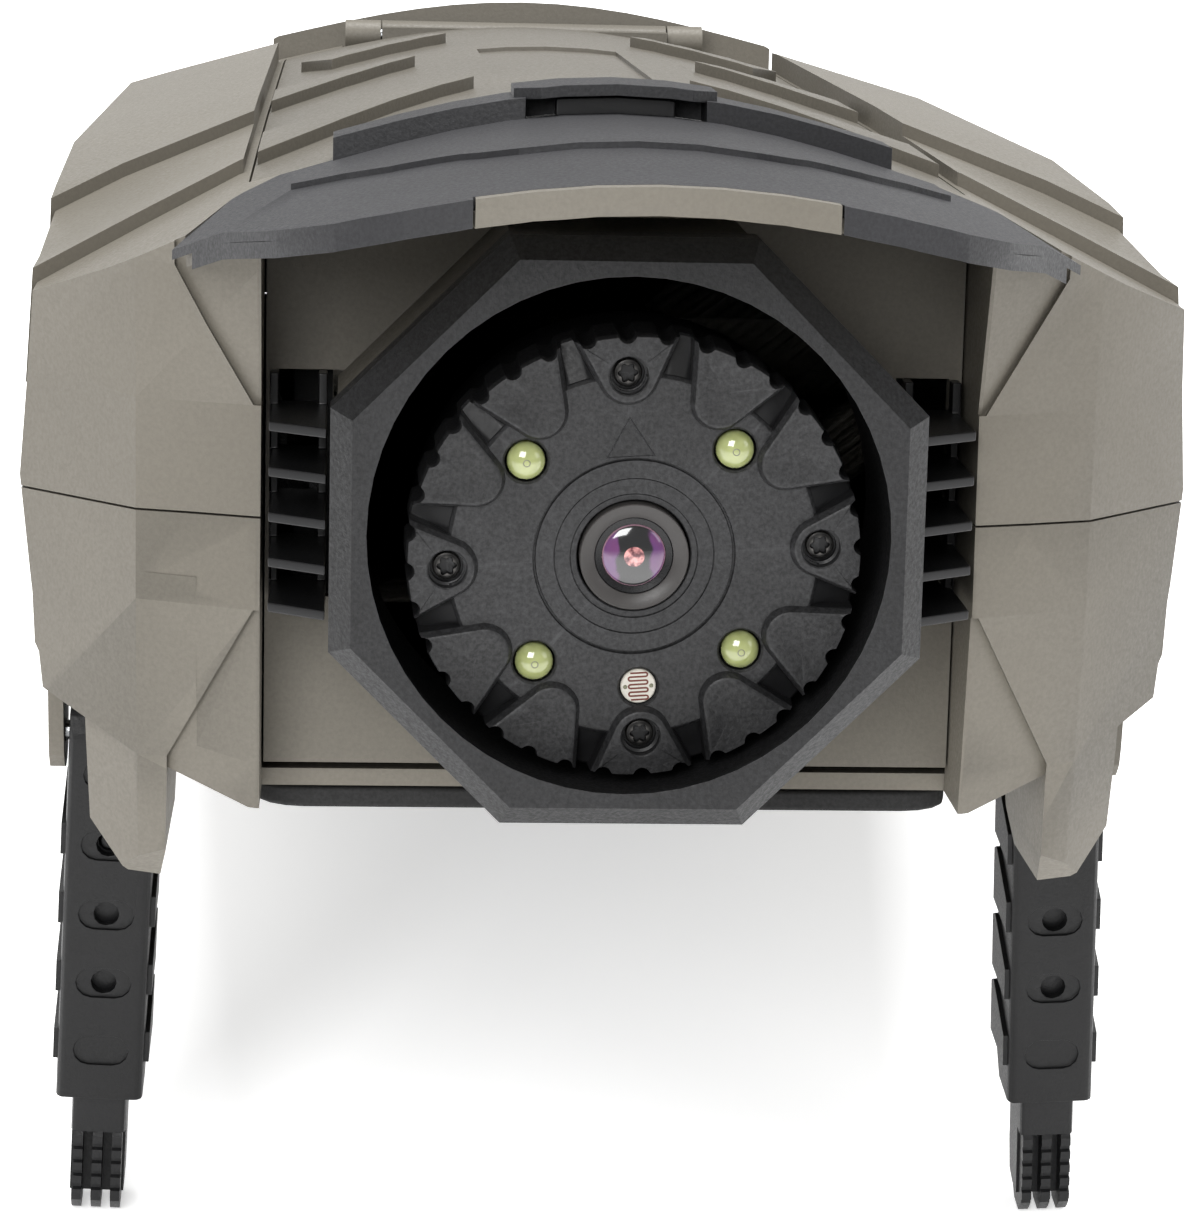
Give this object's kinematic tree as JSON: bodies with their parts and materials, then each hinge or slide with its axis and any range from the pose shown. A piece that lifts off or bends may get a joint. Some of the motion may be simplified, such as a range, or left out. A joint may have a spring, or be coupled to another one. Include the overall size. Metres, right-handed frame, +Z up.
{
  "type": "trail camera",
  "caption": "Long clamshell field camera with a hinged lid, a hooded camera head on a gimbal, folding telescopic front legs and fixed rear feet.",
  "frame": {"origin": "bottom centre of the bounding box, on the ground it stands on", "axes": "+Z up, -Y towards the lens, +X to the right seen from the front"},
  "size_m": [0.1648, 0.3946, 0.1969],
  "materials": {
    "shell_plastic": "fine moulded grain, satin",
    "hood_overmould": "soft matte, fine grain",
    "black_plastic": "fine moulded grain",
    "leg_plastic": "semi-matte glass-filled nylon",
    "pad_rubber": "matte",
    "steel": "plain zinc-plated",
    "black_screw": "black oxide",
    "led_epoxy": "clear domed epoxy",
    "lens_glass": "coated",
    "sensor_ceramic": "printed ceramic under clear resin",
    "circuit_board": "solder mask",
    "battery_wrap": "shrink wrap"
  },
  "bodies": {
    "case": {"upper_shell": "shell_plastic", "lower_shell": "shell_plastic", "rear_foot_right": "pad_rubber", "rear_foot_left": "pad_rubber", "base_pad": "pad_rubber", "hood_skin": "hood_overmould", "hinge_pin": "steel", "lid_gasket": "pad_rubber", "compartment_tray": "black_plastic", "battery_pack": "battery_wrap", "main_board": "circuit_board", "front_panel": "shell_plastic", "octagon_bezel": "black_plastic", "vent_grille_right": "black_plastic", "vent_grille_left": "black_plastic", "leg_pin_right": "steel", "leg_pin_left": "steel"},
    "lid": {"lid": "shell_plastic", "lid_band": "hood_overmould", "latch_spring": "steel"},
    "latch": {"latch_button": "black_plastic"},
    "pan_ring": {"pan_ring": "black_plastic"},
    "tilt_cradle": {"tilt_cradle": "black_plastic"},
    "head": {"head_cup": "black_plastic", "spindle_clip": "steel", "head_seal": "pad_rubber", "head_face": "black_plastic", "led_1": "led_epoxy", "led_2": "led_epoxy", "led_3": "led_epoxy", "led_4": "led_epoxy", "head_screw_1": "black_screw", "head_screw_2": "black_screw", "head_screw_3": "black_screw", "head_screw_4": "black_screw", "light_sensor": "sensor_ceramic", "lens_barrel": "black_plastic", "lens_retainer": "black_plastic", "lens_glass": "lens_glass", "sensor_board": "circuit_board"},
    "power_button": {"power_button": "black_plastic"},
    "leg_sleeve_left": {"leg_sleeve_left": "leg_plastic"},
    "leg_slide_left": {"leg_slide_left": "leg_plastic", "leg_button_spring_left": "steel"},
    "leg_button_left": {"leg_button_left": "leg_plastic"},
    "leg_sleeve_right": {"leg_sleeve_right": "leg_plastic"},
    "leg_slide_right": {"leg_slide_right": "leg_plastic", "leg_button_spring_right": "steel"},
    "leg_button_right": {"leg_button_right": "leg_plastic"}
  },
  "joints": [
    {"name": "lid_hinge", "type": "hinge", "parent": "case", "child": "lid", "pos_m": [0, 0.17763, 0.09371], "axis": [-1, 0, 0], "range_deg": [0, 100]},
    {"name": "latch_press", "type": "slide", "parent": "lid", "child": "latch", "axis": [0, 0.9673, -0.2538], "range_m": [0, 0.0018], "stiffness_N_per_m": 600, "springref_m": -0.0005},
    {"name": "head_pan", "type": "hinge", "parent": "case", "child": "pan_ring", "pos_m": [0, -0.1294, 0.12928], "axis": [0, 0.2538, 0.9673], "range_deg": [-6.1, 2.9]},
    {"name": "head_tilt", "type": "hinge", "parent": "pan_ring", "child": "tilt_cradle", "pos_m": [0, -0.1294, 0.12928], "axis": [0.9996, 0.027, -0.0071], "range_deg": [-10.2, 0.4]},
    {"name": "head_roll", "type": "hinge", "parent": "tilt_cradle", "child": "head", "pos_m": [0, -0.1294, 0.12928], "axis": [0.0278, -0.9859, 0.1649], "range_deg": [-20, 20]},
    {"name": "power_press", "type": "slide", "parent": "case", "child": "power_button", "axis": [0, -0.9673, 0.2538], "range_m": [0, 0.0012], "stiffness_N_per_m": 600, "springref_m": -0.0005},
    {"name": "leg_fold_left", "type": "hinge", "parent": "case", "child": "leg_sleeve_left", "pos_m": [-0.0699, -0.10826, 0.07825], "axis": [1, 0, 0], "range_deg": [0, 80]},
    {"name": "leg_extend_left", "type": "slide", "parent": "leg_sleeve_left", "child": "leg_slide_left", "axis": [-0.0471, -0.1009, -0.9938], "range_m": [0, 0.0224]},
    {"name": "leg_button_press_left", "type": "slide", "parent": "leg_slide_left", "child": "leg_button_left", "axis": [0, 0.9949, -0.1011], "range_m": [-0.0014, 0.0008]},
    {"name": "leg_fold_right", "type": "hinge", "parent": "case", "child": "leg_sleeve_right", "pos_m": [0.0699, -0.10826, 0.07825], "axis": [1, 0, 0], "range_deg": [0, 80]},
    {"name": "leg_extend_right", "type": "slide", "parent": "leg_sleeve_right", "child": "leg_slide_right", "axis": [0.0471, -0.1009, -0.9938], "range_m": [0, 0.0224]},
    {"name": "leg_button_press_right", "type": "slide", "parent": "leg_slide_right", "child": "leg_button_right", "axis": [0, 0.9949, -0.1011], "range_m": [-0.0014, 0.0008]}
  ]
}
